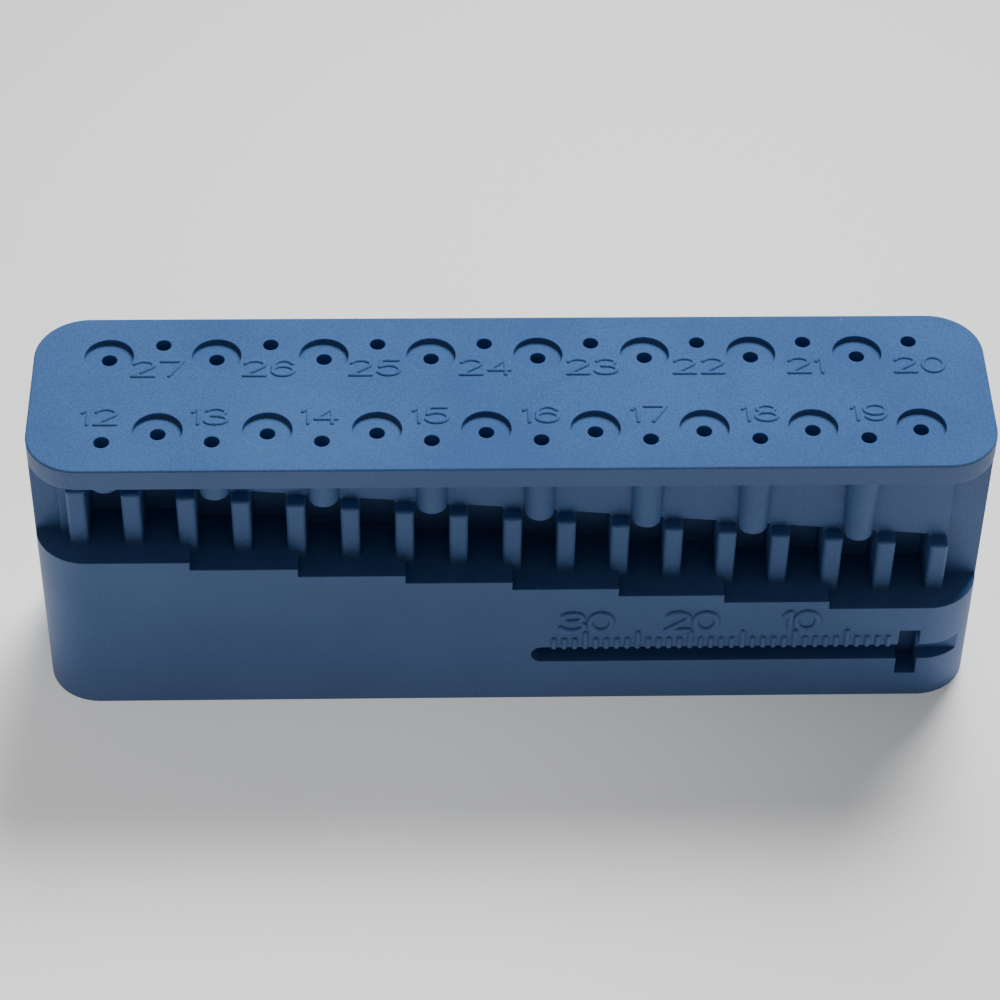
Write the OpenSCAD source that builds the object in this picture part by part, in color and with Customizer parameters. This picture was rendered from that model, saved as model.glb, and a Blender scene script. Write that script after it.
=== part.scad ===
// Endodontic measuring block, one solid plastic moulding.
// A root canal file is pushed through a hole in the top plate until its tip stands on
// the floor below, and the stop on the file is slid down to the plate. The floors step
// down by one depth each: the shorter lengths are at the front, the longer at the back.
// The front face also holds a ruler with a slot for a file or a point.
// Millimetres. The origin is the middle of the underside, X runs along the rows of
// holes, Y from the front to the back, and Z upwards.

/* [Block] */
// Depth of the block, front to back
block_depth = 20.4; // [19.4:0.1:24]
// Thickness of the plastic under the deepest floor
floor_thickness = 4.3; // [3.5:0.1:8]
// Length of the plain end beyond the middle of the outer fin
end_length = 4.5; // [3.5:0.1:8]
// Radius of the four upright corners
corner_radius = 5; // [3:0.1:6]

/* [Top plate] */
// Thickness of the top plate
plate_thickness = 2.4; // [2:0.1:3.5]
// Radius of the plate's upper and lower edges
plate_edge_radius = 0.2; // [0.1:0.05:0.6]

/* [Working lengths] */
// Shortest length, at the left end of the front
shortest_length = 12; // [10:0.5:14]
// Drop from one floor to the next, and so from one length to the next
floor_drop = 1; // [0.8:0.1:1.1]
// Number of lengths on each side
lengths_per_side = 8; // [5:1:8]

/* [Guide holes] */
// Distance between neighbouring holes along the block
hole_pitch = 5; // [4.6:0.1:6.5]
// Diameter of the holes
hole_diameter = 1.45; // [1:0.05:2]
// Distance of the plain holes from the middle of the block
plain_hole_offset = 6.45; // [6:0.05:7.2]
// Distance of the dished holes from the middle of the block
dished_hole_offset = 4.95; // [4.4:0.05:5.5]
// Diameter of the shallow dish round each dished hole
dish_diameter = 4.6; // [3.5:0.1:5]
// Depth of the dish, which takes half a step off the length
dish_depth = 0.5; // [0.2:0.05:1]

/* [Guide walls and tubes] */
// Distance of the guide wall's face from the middle of the block
wall_offset = 6.3; // [5.9:0.05:7]
// Width of the guide wall beyond the comb at its shallower end
wall_margin = 0.9; // [0.1:0.1:1.4]
// Distance of the plain end walls from the middle of the block
end_wall_offset = 5.65; // [5:0.05:5.8]
// Outside diameter of the half-round guide tubes at their lower end
tube_diameter = 2.8; // [2.4:0.1:3.6]
// How much wider a guide tube gets for each millimetre towards the plate
tube_draft = 0.05; // [0:0.01:0.08]
// Gap between a guide tube and the floor below it
tube_gap = 6.85; // [6.8:0.05:8.5]

/* [Comb] */
// Thickness of the fins between the pockets
fin_thickness = 1.75; // [1:0.05:2]
// How much further apart neighbouring fins are than neighbouring holes
fin_spread = 0.03; // [0:0.01:0.04]
// Distance of the fins' front from the middle of the block
fin_offset = 7.75; // [7.4:0.05:9]
// Height of the guide wall's sloping lower edge above the mean line of the floors
opening_height = 6.55; // [4:0.05:6.75]
// How far the fins end below the guide wall's lower edge
fin_shelf_drop = 0.1; // [0.05:0.05:1]
// Radius of the fins' front and top edges
fin_edge_radius = 0.35; // [0.1:0.05:0.45]
// Thickness of the web between the deep pockets of the two sides
web_thickness = 6; // [3:0.2:7]

/* [Ruler] */
// Distance of the ruler's zero from the right end of the block
zero_inset = 7.45; // [6:0.05:9]
// Number of marks to the left of the zero
marks = 33; // [10:1:34]
// Distance between neighbouring marks
mark_pitch = 1; // [0.9:0.05:1.1]
// Width of a mark, which is a half-round ridge
mark_width = 0.56; // [0.3:0.02:0.7]
// Height of a short mark
short_mark = 1.4; // [0.8:0.1:1.8]
// Height of a long mark, at every fifth place
long_mark = 2.3; // [1.9:0.1:3]
// How far the middle line of the marks lies behind the front face
mark_sink = 0.02; // [0:0.01:0.1]
// Length of the ruler's slot to the left of the zero
slot_length = 35.15; // [34:0.05:40]
// Height of the slot
slot_height = 2; // [1:0.05:2.3]
// Height of the slot's lower edge above the underside
slot_level = 5.2; // [4:0.1:6]
// Depth of the slot
slot_depth = 3; // [1.8:0.1:4]
// Depth of the slot's run-out to the right of the cross slot
runout_depth = 1.4; // [0.8:0.1:1.7]
// Width of the upright cross slot that takes the stop
cross_width = 2; // [1:0.05:2.5]
// Height of the cross slot
cross_height = 6.05; // [4:0.05:6.5]
// Height of the cross slot's lower end above the underside
cross_level = 3.1; // [2.5:0.1:3.9]

/* [Hidden] */
$fn = 64;
moulding_blue = [0.27, 0.43, 0.60];
marks_per_long_mark = 5;
overrun = mark_width;
places = 2 * lengths_per_side;
half_comb = lengths_per_side * hole_pitch;
half_length = half_comb + end_length;
half_depth = block_depth / 2;
front_length = shortest_length;
back_length = front_length + lengths_per_side * floor_drop;
drop_of_floors = (lengths_per_side - 1) * floor_drop;
block_height = back_length + drop_of_floors + floor_thickness;
plate_underside = block_height - plate_thickness;
step_width = 2 * hole_pitch;
fin_pitch = hole_pitch + fin_spread;
comb_end = lengths_per_side * fin_pitch + fin_thickness / 2;
wall_start = -comb_end - wall_margin;
zero_place = half_length - zero_inset;
slot_top = slot_level + slot_height;
pocket_back = web_thickness / 2;

// Height of the floor under the given length
function floor_level(length) = block_height - length;

// Height of the guide wall's sloping lower edge at a place along the block
function wall_edge(shortest, x) =
    block_height - shortest - drop_of_floors / 2 - x * floor_drop / step_width + opening_height;

// Middle of the hole at the given place, counted from the left
function place_of_hole(place) = (place + 1 / 2) * hole_pitch - half_comb;

// Middle of the fin at the given place, counted from the left
function place_of_fin(place) = (place - lengths_per_side) * fin_pitch;

// Stands a flat drawing up in the front plane and gives it a depth towards the viewer
module towards_front(depth) {
    rotate([90, 0, 0]) linear_extrude(depth) children();
}

// The shape of the block from above
module plan() {
    square([2 * half_length, 2 * (half_depth - corner_radius)], center = true);
    square([2 * (half_length - corner_radius), 2 * half_depth], center = true);
    for (x = [-1, 1], y = [-1, 1])
        translate([x * (half_length - corner_radius), y * (half_depth - corner_radius)])
            circle(corner_radius);
}

// Section through the plate's rim, from the middle of a corner outwards
module rim_section() {
    inner = corner_radius - plate_edge_radius;
    square([inner, plate_thickness]);
    translate([0, plate_edge_radius])
        square([corner_radius, plate_thickness - 2 * plate_edge_radius]);
    for (level = [plate_edge_radius, plate_thickness - plate_edge_radius])
        translate([inner, level]) circle(plate_edge_radius);
}

// One straight stretch of rim, centred on the Y axis and facing +X
module straight_rim(length) {
    translate([0, length / 2, 0]) rotate([90, 0, 0]) linear_extrude(length) rim_section();
}

// The top plate with its softened edges
module plate() {
    corner_x = half_length - corner_radius;
    corner_y = half_depth - corner_radius;
    linear_extrude(plate_thickness) square([2 * corner_x, 2 * corner_y], center = true);
    for (side = [0, 180])
        rotate([0, 0, side]) {
            translate([corner_x, 0, 0]) straight_rim(2 * corner_y);
            translate([0, corner_y, 0]) rotate([0, 0, 90]) straight_rim(2 * corner_x);
            translate([corner_x, corner_y, 0]) rotate_extrude(angle = 90) rim_section();
            translate([-corner_x, corner_y, 0]) rotate([0, 0, 90])
                rotate_extrude(angle = 90) rim_section();
        }
}

// The stepped floors of one side, which run out to the ends of the block
module floors(shortest) {
    for (i = [0 : lengths_per_side - 1]) {
        left = i == 0 ? -half_length : i * step_width - half_comb;
        right = i == lengths_per_side - 1 ? half_length : (i + 1) * step_width - half_comb;
        translate([left, -half_depth, 0])
            cube([right - left, half_depth, floor_level(shortest + i * floor_drop)]);
    }
}

// A rectangle that stands on zero and has its two far corners rounded
module round_topped(width, height, radius) {
    straight = height - radius;
    translate([-width / 2, 0]) square([width, straight]);
    translate([radius - width / 2, 0]) square([width - 2 * radius, height]);
    for (side = [-1, 1])
        translate([side * (width / 2 - radius), straight]) circle(radius);
}

// One fin, rounded as it is seen from above, from the front and from the side
module fin(x, level) {
    translate([x, 0, 0]) intersection() {
        rotate([0, 0, 180]) linear_extrude(level)
            round_topped(fin_thickness, fin_offset, fin_edge_radius);
        towards_front(fin_offset) round_topped(fin_thickness, level, fin_edge_radius);
        translate([-fin_thickness, 0, 0]) rotate([90, 0, 90])
            linear_extrude(2 * fin_thickness)
                round_topped(2 * fin_offset, level, fin_edge_radius);
    }
}

// The guide wall, which ends flush with the comb on the right and runs down past it on the left
module guide_wall(shortest) {
    towards_front(wall_offset)
        polygon([
            [wall_start, 0],
            [-comb_end, 0],
            [-comb_end, wall_edge(shortest, -comb_end)],
            [comb_end, wall_edge(shortest, comb_end)],
            [comb_end, block_height],
            [wall_start, block_height]
        ]);
}

// The fins of one side, which grow into the guide wall above them
module comb(shortest) {
    for (place = [0 : places]) {
        x = place_of_fin(place);
        fin(x, wall_edge(shortest, x) - fin_shelf_drop);
        translate([x - fin_thickness / 2, -wall_offset, 0])
            cube([fin_thickness, wall_offset, wall_edge(shortest, x - fin_thickness)]);
    }
}

// The half-round tubes that carry the plain holes down the face of the guide wall
module guide_tubes(shortest) {
    for (i = [0 : lengths_per_side - 1]) {
        tube_end = floor_level(shortest + i * floor_drop) + tube_gap;
        tube_length = block_height - tube_end;
        translate([place_of_hole(2 * i), -plain_hole_offset, tube_end])
            cylinder(h = tube_length, d1 = tube_diameter,
                d2 = tube_diameter + tube_length * tube_draft);
    }
}

// The deep pocket under one hole, up to the guide wall's sloping edge
module deep_pocket(shortest, place) {
    left = place_of_fin(place) + fin_thickness / 2;
    right = place_of_fin(place + 1) - fin_thickness / 2;
    level = floor_level(shortest + floor(place / 2) * floor_drop);
    translate([0, -pocket_back, 0]) towards_front(wall_offset - pocket_back)
        polygon([
            [left, level],
            [right, level],
            [right, wall_edge(shortest, right)],
            [left, wall_edge(shortest, left)]
        ]);
}

// The hole at one place: plain and dished holes take turns
module guide_hole(shortest, place) {
    dished = place % 2 == 1;
    offset_y = dished ? dished_hole_offset : plain_hole_offset;
    start = floor_level(shortest + floor(place / 2) * floor_drop) + opening_height / 2;
    translate([place_of_hole(place), -offset_y, start])
        cylinder(h = block_height + overrun - start, d = hole_diameter);
    if (dished)
        translate([place_of_hole(place), -offset_y, block_height - dish_depth])
            cylinder(h = dish_depth + overrun, d = dish_diameter);
}

// What is added on one side of the block
module side_solid(shortest) {
    floors(shortest);
    guide_wall(shortest);
    comb(shortest);
    guide_tubes(shortest);
}

// What is cut away on one side of the block
module side_cuts(shortest) {
    for (place = [0 : places - 1]) guide_hole(shortest, place);
    for (place = [0 : places - 1]) deep_pocket(shortest, place);
}

// The ruler's slot, its run-out and the cross slot for the stop
module ruler_slots() {
    slot_start = zero_place - slot_length;
    end_radius = slot_height / 2;
    translate([0, slot_depth - half_depth, 0]) towards_front(slot_depth + overrun) {
        translate([slot_start + end_radius, slot_level + end_radius]) circle(end_radius);
        translate([slot_start + end_radius, slot_level])
            square([slot_length - end_radius + cross_width / 2, slot_height]);
        translate([zero_place, cross_level]) square([cross_width, cross_height]);
    }
    translate([0, runout_depth - half_depth, 0]) towards_front(runout_depth + overrun)
        translate([zero_place + cross_width / 2, slot_level])
            square([zero_inset, slot_height]);
}

// The raised marks that stand on the upper edge of the slot
module ruler_marks() {
    for (i = [1 : marks]) {
        mark_height = i % marks_per_long_mark == 0 ? long_mark : short_mark;
        straight = mark_height - mark_width / 2;
        translate([zero_place - i * mark_pitch, mark_sink - half_depth, slot_top]) {
            cylinder(h = straight, d = mark_width);
            translate([0, 0, straight]) sphere(d = mark_width);
        }
    }
}

// The whole moulding
module measuring_block() {
    color(moulding_blue) {
        difference() {
            union() {
                translate([0, 0, plate_underside]) plate();
                intersection() {
                    linear_extrude(plate_underside) plan();
                    union() {
                        translate([-half_length, -end_wall_offset, 0])
                            cube([2 * half_length, 2 * end_wall_offset, block_height]);
                        side_solid(front_length);
                        rotate([0, 0, 180]) side_solid(back_length);
                    }
                }
            }
            side_cuts(front_length);
            rotate([0, 0, 180]) side_cuts(back_length);
            ruler_slots();
        }
        ruler_marks();
    }
}

measuring_block();
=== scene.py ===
# %% [markdown]
# # A moulded measuring block, dressed for its portrait
# The object is one blue plastic moulding, about as long as a finger: a top plate with
# rows of small holes, a comb of pockets under it, and a ruler with a slot on its front
# face. The solid comes ready made. This lesson gives it what the mould gives the real
# one: the eroded grain of its faces, its softened edges and its raised numbers.

# %% Load the block
import math

import bpy
from mathutils import Matrix, Vector


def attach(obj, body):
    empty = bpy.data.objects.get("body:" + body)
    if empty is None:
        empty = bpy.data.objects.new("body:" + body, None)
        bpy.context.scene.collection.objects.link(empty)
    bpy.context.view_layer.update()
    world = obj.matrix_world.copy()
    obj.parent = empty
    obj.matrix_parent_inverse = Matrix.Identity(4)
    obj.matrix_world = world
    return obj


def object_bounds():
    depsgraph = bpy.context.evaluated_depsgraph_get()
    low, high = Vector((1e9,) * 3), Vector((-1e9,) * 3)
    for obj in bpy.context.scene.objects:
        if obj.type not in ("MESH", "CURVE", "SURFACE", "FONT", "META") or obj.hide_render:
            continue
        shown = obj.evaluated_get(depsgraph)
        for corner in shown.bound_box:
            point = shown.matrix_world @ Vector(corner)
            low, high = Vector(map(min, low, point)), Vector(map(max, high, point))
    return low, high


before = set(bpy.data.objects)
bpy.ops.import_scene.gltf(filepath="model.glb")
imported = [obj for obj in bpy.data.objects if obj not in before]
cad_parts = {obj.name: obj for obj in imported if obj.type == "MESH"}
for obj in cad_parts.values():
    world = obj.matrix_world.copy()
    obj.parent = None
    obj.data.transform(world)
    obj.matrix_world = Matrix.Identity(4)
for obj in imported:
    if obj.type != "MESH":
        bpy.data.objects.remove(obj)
solid_low, solid_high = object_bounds()
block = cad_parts["measuring_block"]
BODY = "root"
mm = 0.001
print("Block loaded,", [round(side / mm, 1) for side in solid_high - solid_low], "mm")

# %% [markdown]
# ## Camera
# The photograph looks down on the block at a steep angle, from a little left of its
# middle, through a long lens. A camera is turned in three easy steps: tip it down from
# the horizon, swing it about the upright, and roll it about its own view. The small
# shifts stand for a picture that was cropped off centre.

# %% Place the camera
camera_place = Vector((-8.53, -220.28, 241.81)) * mm
look_down = math.radians(44.13)
swing = math.radians(-2.82)
roll = math.radians(1.61)

camera_data = bpy.data.cameras.new("camera")
camera_data.sensor_width = 36
camera_data.lens = 118.56
camera_data.shift_x = -0.0367
camera_data.shift_y = -0.0823
camera_data.clip_start = 10 * mm
camera_data.clip_end = 10
camera = bpy.data.objects.new("camera", camera_data)
turn_down = Matrix.Rotation(math.pi / 2 - look_down, 4, "X")
camera.matrix_world = (
    Matrix.Translation(camera_place)
    @ Matrix.Rotation(swing, 4, "Z")
    @ turn_down
    @ Matrix.Rotation(roll, 4, "Z")
)
bpy.context.collection.objects.link(camera)
bpy.context.scene.camera = camera
print("Camera at", [round(length / mm) for length in camera_place], "mm")

# %% [markdown]
# ## Working with shader values
# A finish is a small calculation at each point of the surface. Written as nodes it is
# hard to read, so a value on its way through a material is wrapped in a class of its
# own: adding or multiplying it in Python adds the Math node that does the same.

# %% Wrap shader values


class Flow:
    """A value on its way through a material."""

    def __init__(self, bench, socket):
        self.bench = bench
        self.socket = socket

    def maths(self, operation, first, second=0.0):
        inputs = {0: first, 1: second}
        return self.bench.place("ShaderNodeMath", {"operation": operation}, inputs)

    def __add__(self, other):
        return self.maths("ADD", self, other)

    def __sub__(self, other):
        return self.maths("SUBTRACT", self, other)

    def __rsub__(self, other):
        return self.maths("SUBTRACT", other, self)

    def __mul__(self, other):
        return self.maths("MULTIPLY", self, other)

    __radd__ = __add__
    __rmul__ = __mul__


class Bench:
    """The node bench of one material."""

    def __init__(self, name):
        self.material = bpy.data.materials.new(name)
        self.material.use_nodes = True
        self.tree = self.material.node_tree
        self.tree.nodes.remove(self.tree.nodes["Principled BSDF"])
        self.surface = self.tree.nodes["Material Output"].inputs["Surface"]

    def plug(self, value, socket):
        if isinstance(value, Flow):
            self.tree.links.new(value.socket, socket)
        else:
            socket.default_value = value

    def place(self, kind, settings=None, inputs=None, output=0):
        made = self.tree.nodes.new(kind)
        for setting, value in (settings or {}).items():
            setattr(made, setting, value)
        for socket, value in (inputs or {}).items():
            self.plug(value, made.inputs[socket])
        return Flow(self, made.outputs[output])

    def steps(self, value, low, high, to_low=0.0, to_high=1.0):
        inputs = {"Value": value, "From Min": low, "From Max": high}
        inputs.update({"To Min": to_low, "To Max": to_high})
        return self.place("ShaderNodeMapRange", {"interpolation_type": "SMOOTHSTEP"}, inputs)

    def blend(self, amount, first, second):
        inputs = {"Factor": amount, 6: first, 7: second}
        return self.place("ShaderNodeMix", {"data_type": "RGBA"}, inputs, output=2)


print("Shader values can be added, subtracted and multiplied")

# %% [markdown]
# ## Floor and light
# The block stands on plain white card, which throws light up at the faces that look
# forward. More lamps in front could do that too, but they would reach into the pockets
# and on to the ledges, which are dark on the real block. So the card itself glows a
# little, like a light table: most in an oval round the foot of the front face, and less
# further out. The oval comes from squeezing the distances along the block before their
# length is taken.

# %% Lay the card
card_size = 4.0
card_colour = (0.88, 0.88, 0.88, 1)
card_roughness = 0.9
card_shine = 0.1
glow_middle = (-35 * mm, -20 * mm, 0)
glow_squeeze = (0.45, 1, 1)
glow_reach = (10 * mm, 50 * mm)
glow_levels = (1.25, 0.2)
glow_strength = 0.3


def flat_square(name, size):
    half = size / 2
    mesh = bpy.data.meshes.new(name)
    corners = [(-half, -half, 0), (half, -half, 0), (half, half, 0), (-half, half, 0)]
    mesh.from_pydata(corners, [], [(0, 1, 2, 3)])
    made = bpy.data.objects.new(name, mesh)
    bpy.context.collection.objects.link(made)
    return made


def card_white():
    bench = Bench("card_white")
    where = bench.place("ShaderNodeTexCoord", output="Object")
    kind = "ShaderNodeVectorMath"
    moved = bench.place(kind, {"operation": "SUBTRACT"}, {0: where, 1: glow_middle})
    squeezed = bench.place(kind, {"operation": "MULTIPLY"}, {0: moved, 1: glow_squeeze})
    reach = bench.place(kind, {"operation": "LENGTH"}, {0: squeezed}, "Value")
    surface = {"Base Color": card_colour, "Roughness": card_roughness}
    surface["Specular IOR Level"] = card_shine
    # The emission is painted light: the card glows as a pool, brightest in an oval at the
    # foot of the front face, and so also lifts the block's own shadow on the card there.
    surface["Emission Color"] = bench.steps(reach, *glow_reach, *glow_levels)
    surface["Emission Strength"] = glow_strength
    bench.plug(bench.place("ShaderNodeBsdfPrincipled", inputs=surface), bench.surface)
    return bench.material


card = flat_square("card", card_size)
card.data.materials.append(card_white())
print("Card laid,", card_size, "m wide")

# %% [markdown]
# ## The lamp
# One wide soft lamp hangs above and behind the block, a little to the right, as the
# shadows in its round dishes show. A narrow cone keeps its light on the block and the
# card near it. The lamp is kept out of reflections, for its glare would wash out the
# blue of the plate. A faint even light from the room softens the shadows.

# %% Hang the lamp
lamp_place = (0.11, 0.30, 0.42)
lamp_size = 0.28
lamp_watts = 0.54
lamp_cone = math.radians(50)
room_strength = 0.2


def soft_light(name, place, size, watts):
    data = bpy.data.lights.new(name, "AREA")
    data.shape = "DISK"
    data.size = size
    data.energy = watts
    light = bpy.data.objects.new(name, data)
    light.location = place
    light.rotation_mode = "QUATERNION"
    light.rotation_quaternion = Vector(place).to_track_quat("Z", "Y")
    bpy.context.collection.objects.link(light)
    return light


top_light = soft_light("top_light", lamp_place, lamp_size, lamp_watts)
top_light.data.spread = lamp_cone
top_light.visible_glossy = False

room = bpy.data.worlds.new("room")
room.use_nodes = True
room_light = room.node_tree.nodes["Background"]
room_light.inputs["Color"].default_value = (1, 1, 1, 1)
room_light.inputs["Strength"].default_value = room_strength
bpy.context.scene.world = room
print("Lamp hung", [round(length / mm) for length in lamp_place], "mm from the block")

# %% [markdown]
# ## The moulded plastic
# The plastic is coloured right through. Its faces copy the mould, and the mould was
# spark eroded, so they have an even grain of about a fifth of a millimetre and little
# shine. Three noises make it: a fine one for the grain, a wider one for the slight
# unevenness of a thick moulding, and a slow one that lets the blue wander a little. A
# rounding of the normals near each edge stands for the small radius that every mould
# edge has. Dust is sparse faint specks, small round spots that lie in a few patches.
# The finish goes into the material slots of the block's object, so that its mesh, which
# the solid owns, is left as it came.

# %% Mix the blue plastic
blue = (0.040, 0.097, 0.248, 1)
worn_blue = (0.060, 0.133, 0.312, 1)
dust_grey = (0.42, 0.50, 0.60, 1)
plastic_shine = 0.45
roughness_range = (0.50, 0.60)
edge_softness = 0.18 * mm
grain_height = 0.04 * mm
grain_strength = 0.6
grain_per_metre = 5200
ripple_per_metre = 900
drift_per_metre = 45
dust_per_metre = 420
dust_spot = (0.02, 0.07)
dust_patch = (0.60, 0.70)
dust_amount = 0.35


def blue_plastic():
    bench = Bench("blue_plastic")
    where = bench.place("ShaderNodeTexCoord", output="Object")

    def noise(per_metre, detail):
        inputs = {"Vector": where, "Scale": per_metre, "Detail": detail, "Roughness": 0.6}
        return bench.place("ShaderNodeTexNoise", inputs=inputs)

    grain = noise(grain_per_metre, 2)
    ripple = noise(ripple_per_metre, 2)
    drift = noise(drift_per_metre, 3)
    speck_inputs = {"Vector": where, "Scale": dust_per_metre, "Randomness": 1.0}
    speck_distance = bench.place("ShaderNodeTexVoronoi", inputs=speck_inputs)
    dusty_place = bench.steps(noise(dust_per_metre / 3, 1), *dust_patch)
    dust = (1 - bench.steps(speck_distance, *dust_spot)) * dusty_place

    uneven = bench.steps(drift * 0.4 + grain * 0.6, 0.36, 0.64)
    plastic = bench.blend(uneven, blue, worn_blue)
    colour = bench.blend(dust * dust_amount, plastic, dust_grey)
    roughness = bench.steps(grain, 0.3, 0.7, *roughness_range)

    softened = bench.place("ShaderNodeBevel", {"samples": 8}, {"Radius": edge_softness})
    relief = grain * 0.7 + ripple * 0.3
    bump = {"Strength": grain_strength, "Distance": grain_height}
    bump.update({"Height": relief, "Normal": softened})
    normal = bench.place("ShaderNodeBump", inputs=bump)
    surface = {"Base Color": colour, "Roughness": roughness, "Normal": normal}
    surface["Specular IOR Level"] = plastic_shine
    bench.plug(bench.place("ShaderNodeBsdfPrincipled", inputs=surface), bench.surface)
    return bench.material


plastic = blue_plastic()
for place in block.material_slots:
    place.link = "OBJECT"
    place.material = plastic
print("Blue plastic on", block.name, "with", len(plastic.node_tree.nodes), "nodes")

# %% [markdown]
# ## Raised numbers
# The mould maker cut each figure into the steel with a round-nosed cutter, so on the
# plastic it stands up as a half-round ridge. The same idea makes it here: a figure is a
# few strokes, a stroke is a line that a round tool follows, and the tool's ball gives
# each stroke its round ends. A font would give flat letters with the wrong section.

# %% Draw the figures as strokes
bow_step = 15


def bow(middle, reach, start, end):
    """Points on an oval arc; angles in degrees, going either way round."""
    count = max(2, round(abs(end - start) / bow_step))
    angles = [math.radians(start + (end - start) * i / count) for i in range(count + 1)]
    return [
        (middle[0] + reach[0] * math.cos(a), middle[1] + reach[1] * math.sin(a))
        for a in angles
    ]


FIGURES = {
    "0": [bow((0.5, 0.5), (0.5, 0.5), 90, 450)],
    "1": [[(1, 0), (1, 1)], [(1, 1), (0.5, 0.93), (0, 0.78)]],
    "2": [bow((0.5, 0.73), (0.47, 0.27), 160, -35) + [(0, 0)], [(0, 0), (1, 0)]],
    "3": [
        bow((0.47, 0.765), (0.45, 0.235), 155, -90) + [(0.3, 0.53)],
        bow((0.47, 0.265), (0.53, 0.265), 90, -160),
    ],
    "4": [[(0.78, 0), (0.78, 1)], [(0.78, 1), (0, 0.28)], [(0, 0.28), (1, 0.28)]],
    "5": [
        [(0.93, 1), (0.14, 1)],
        [(0.14, 1), (0.06, 0.55)],
        [(0.06, 0.55)] + bow((0.48, 0.325), (0.52, 0.325), 130, -160),
    ],
    "6": [
        bow((0.5, 0.31), (0.5, 0.31), 180, 540),
        bow((0.52, 0.5), (0.52, 0.5), 178, 35),
    ],
    "7": [[(0, 1), (1, 1)], [(1, 1), (0.38, 0)]],
    "8": [
        bow((0.5, 0.77), (0.42, 0.23), -90, 270),
        bow((0.5, 0.27), (0.5, 0.27), 90, 450),
    ],
    "9": [
        bow((0.5, 0.69), (0.5, 0.31), 0, 360),
        bow((0.48, 0.5), (0.52, 0.5), -2, -145),
    ],
}
NARROW = {"1": 0.16}
print("Figures drawn:", "".join(FIGURES))

# %% [markdown]
# The round tool is a curve with a round section. Its radius shrinks over the last
# steps at both ends, which closes the tube like the end of a ball.

# %% Follow a stroke with a round tool
end_steps = 3


def ball_ended(points, radius):
    """Adds the points and the shrinking radii that round off both ends of a stroke."""
    first_way = (points[0] - points[1]).normalized()
    last_way = (points[-1] - points[-2]).normalized()
    tips = [math.radians(90 * i / end_steps) for i in range(end_steps, 0, -1)]
    head = [(points[0] + first_way * radius * math.sin(t), math.cos(t)) for t in tips]
    tail = [(points[-1] + last_way * radius * math.sin(t), math.cos(t)) for t in tips]
    return head + [(point, 1.0) for point in points] + tail[::-1]


def add_stroke(curve, points, radius):
    closed = (points[0] - points[-1]).length < radius / 10
    spine = [(p, 1.0) for p in points[:-1]] if closed else ball_ended(points, radius)
    spline = curve.splines.new("POLY")
    spline.points.add(len(spine) - 1)
    spline.use_cyclic_u = closed
    for knot, (point, share) in zip(spline.points, spine):
        knot.co = (*point, 1)
        knot.radius = max(share, 0.02)


def round_tool(name, radius):
    curve = bpy.data.curves.new(name, "CURVE")
    curve.dimensions = "3D"
    curve.bevel_depth = radius
    curve.bevel_resolution = 2
    curve.use_fill_caps = True
    return curve


print("A round tool follows each stroke")

# %% [markdown]
# ## Setting out a number
# The wide figures stand side by side, the figure one much narrower than the others. A
# number is set out about its own middle on a face, which is given by two directions:
# along the line of figures and up the figures.

# %% Set a number on a face


def set_number(curve, text, middle, along, up, style):
    tall = style["height"] - 2 * style["radius"]
    widths = [
        style["width"] * NARROW.get(figure, 1) + (style["flag"] if figure in NARROW else 0)
        for figure in text
    ]
    total = sum(widths) + style["gap"] * (len(text) - 1)
    left = -total / 2
    for figure, width in zip(text, widths):
        wide = width - 2 * style["radius"]
        for stroke in FIGURES[figure]:
            points = [
                middle
                + along * (left + style["radius"] + x * wide)
                + up * (style["radius"] - style["height"] / 2 + y * tall)
                for x, y in stroke
            ]
            add_stroke(curve, points, style["radius"])
        left += width + style["gap"]


def finish_numbers(curve):
    """Turns the strokes into one mesh piece that rides with the block."""
    drawn = bpy.data.objects.new(curve.name + "_strokes", curve)
    bpy.context.collection.objects.link(drawn)
    reader = bpy.context.evaluated_depsgraph_get()
    mesh = bpy.data.meshes.new_from_object(drawn.evaluated_get(reader))
    bpy.data.objects.remove(drawn)
    mesh.shade_smooth()
    mesh.materials.clear()
    mesh.materials.append(plastic)
    made = bpy.data.objects.new(curve.name, mesh)
    bpy.context.collection.objects.link(made)
    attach(made, BODY)
    return made


print("A number is set out about its middle")

# %% [markdown]
# ## Lengths on the top plate
# Each plain hole has its length beside it. The shorter lengths, 12 to 19, run from left
# to right along the front, and the longer ones, 20 to 27, run from right to left along
# the back. All of them read from the front.

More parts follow.
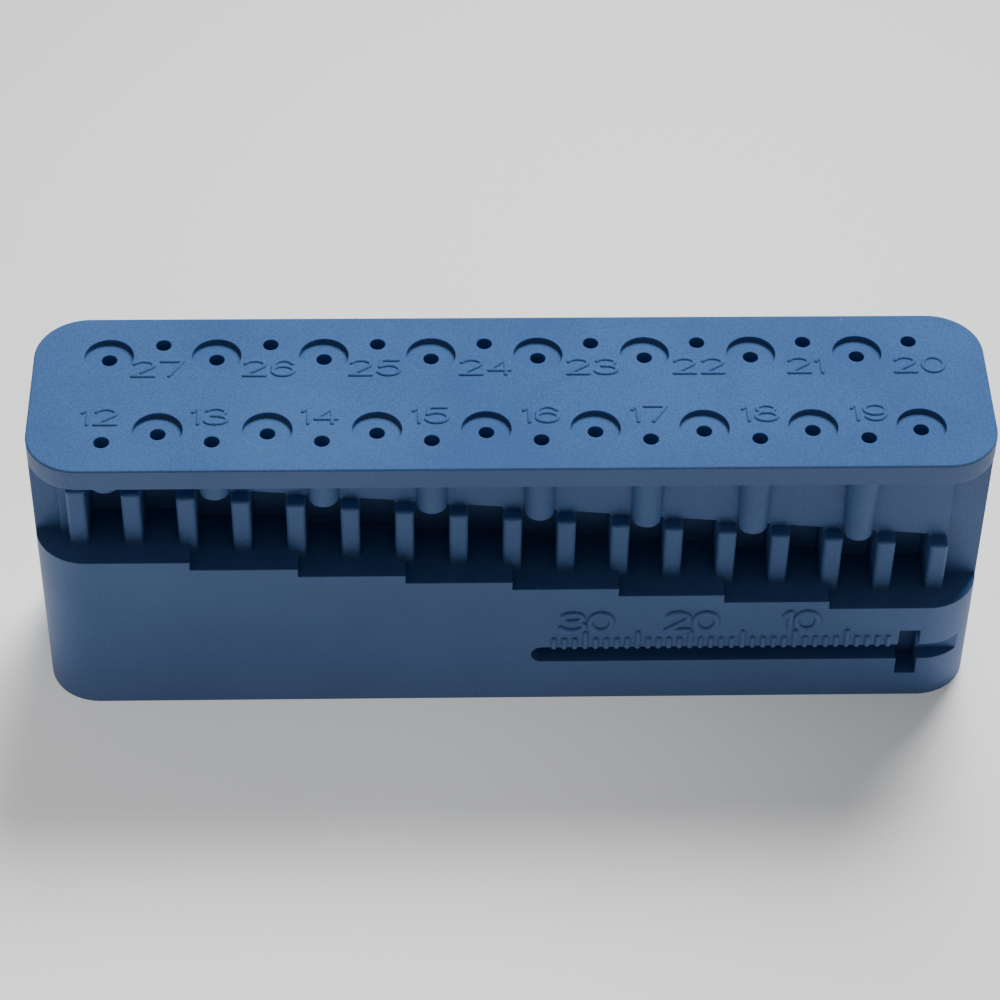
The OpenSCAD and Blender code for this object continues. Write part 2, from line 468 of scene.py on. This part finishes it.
# %% Number the holes
top = solid_high.z
hole_step = 10 * mm
first_hole = 37.5 * mm
lengths_a_side = 8
front_nudges = (-0.37, -0.28, -0.23, -0.08, 0.05, 0.05, 0.25, 0.32)
back_nudges = (0.69, -0.03, -0.01, 0.03, 0.06, -0.23, -0.08, -0.37)
front_line = -3.12 * mm
back_line = 3.27 * mm
plate_style = {
    "width": 2.42 * mm,
    "height": 2.42 * mm,
    "radius": 0.22 * mm,
    "gap": 0.22 * mm,
    "flag": 0.55 * mm,
}
plate_sink = 0.06 * mm
right = Vector((1, 0, 0))
away = Vector((0, 1, 0))

plate_curve = round_tool("plate_numbers", plate_style["radius"])
for i in range(lengths_a_side):
    front_x = -first_hole + i * hole_step + front_nudges[i] * mm
    back_x = first_hole - i * hole_step + back_nudges[i] * mm
    front_middle = Vector((front_x, front_line, top - plate_sink))
    back_middle = Vector((back_x, back_line, top - plate_sink))
    set_number(plate_curve, str(12 + i), front_middle, right, away, plate_style)
    set_number(plate_curve, str(20 + i), back_middle, right, away, plate_style)
plate_numbers = finish_numbers(plate_curve)
print("Plate numbers:", len(plate_numbers.data.polygons), "faces")

# %% [markdown]
# ## Numbers on the ruler
# Three larger numbers stand over the long marks at 30, 20 and 10 millimetres from the
# cross slot, where the stop of a file is held.

# %% Number the ruler
face_y = -10.2 * mm
ruler_zero = 37.05 * mm
ruler_line = 10.75 * mm
ruler_style = {
    "width": 2.75 * mm,
    "height": 3.0 * mm,
    "radius": 0.32 * mm,
    "gap": -0.1 * mm,
    "flag": 0.7 * mm,
}
ruler_sink = 0.04 * mm
upwards = Vector((0, 0, 1))

ruler_curve = round_tool("ruler_numbers", ruler_style["radius"])
for reading, nudge in ((10, 0.48 * mm), (20, 0.07 * mm), (30, 0.09 * mm)):
    middle = Vector((ruler_zero - reading * mm + nudge, face_y + ruler_sink, ruler_line))
    set_number(ruler_curve, str(reading), middle, right, upwards, ruler_style)
ruler_numbers = finish_numbers(ruler_curve)
print("Ruler numbers:", len(ruler_numbers.data.polygons), "faces")
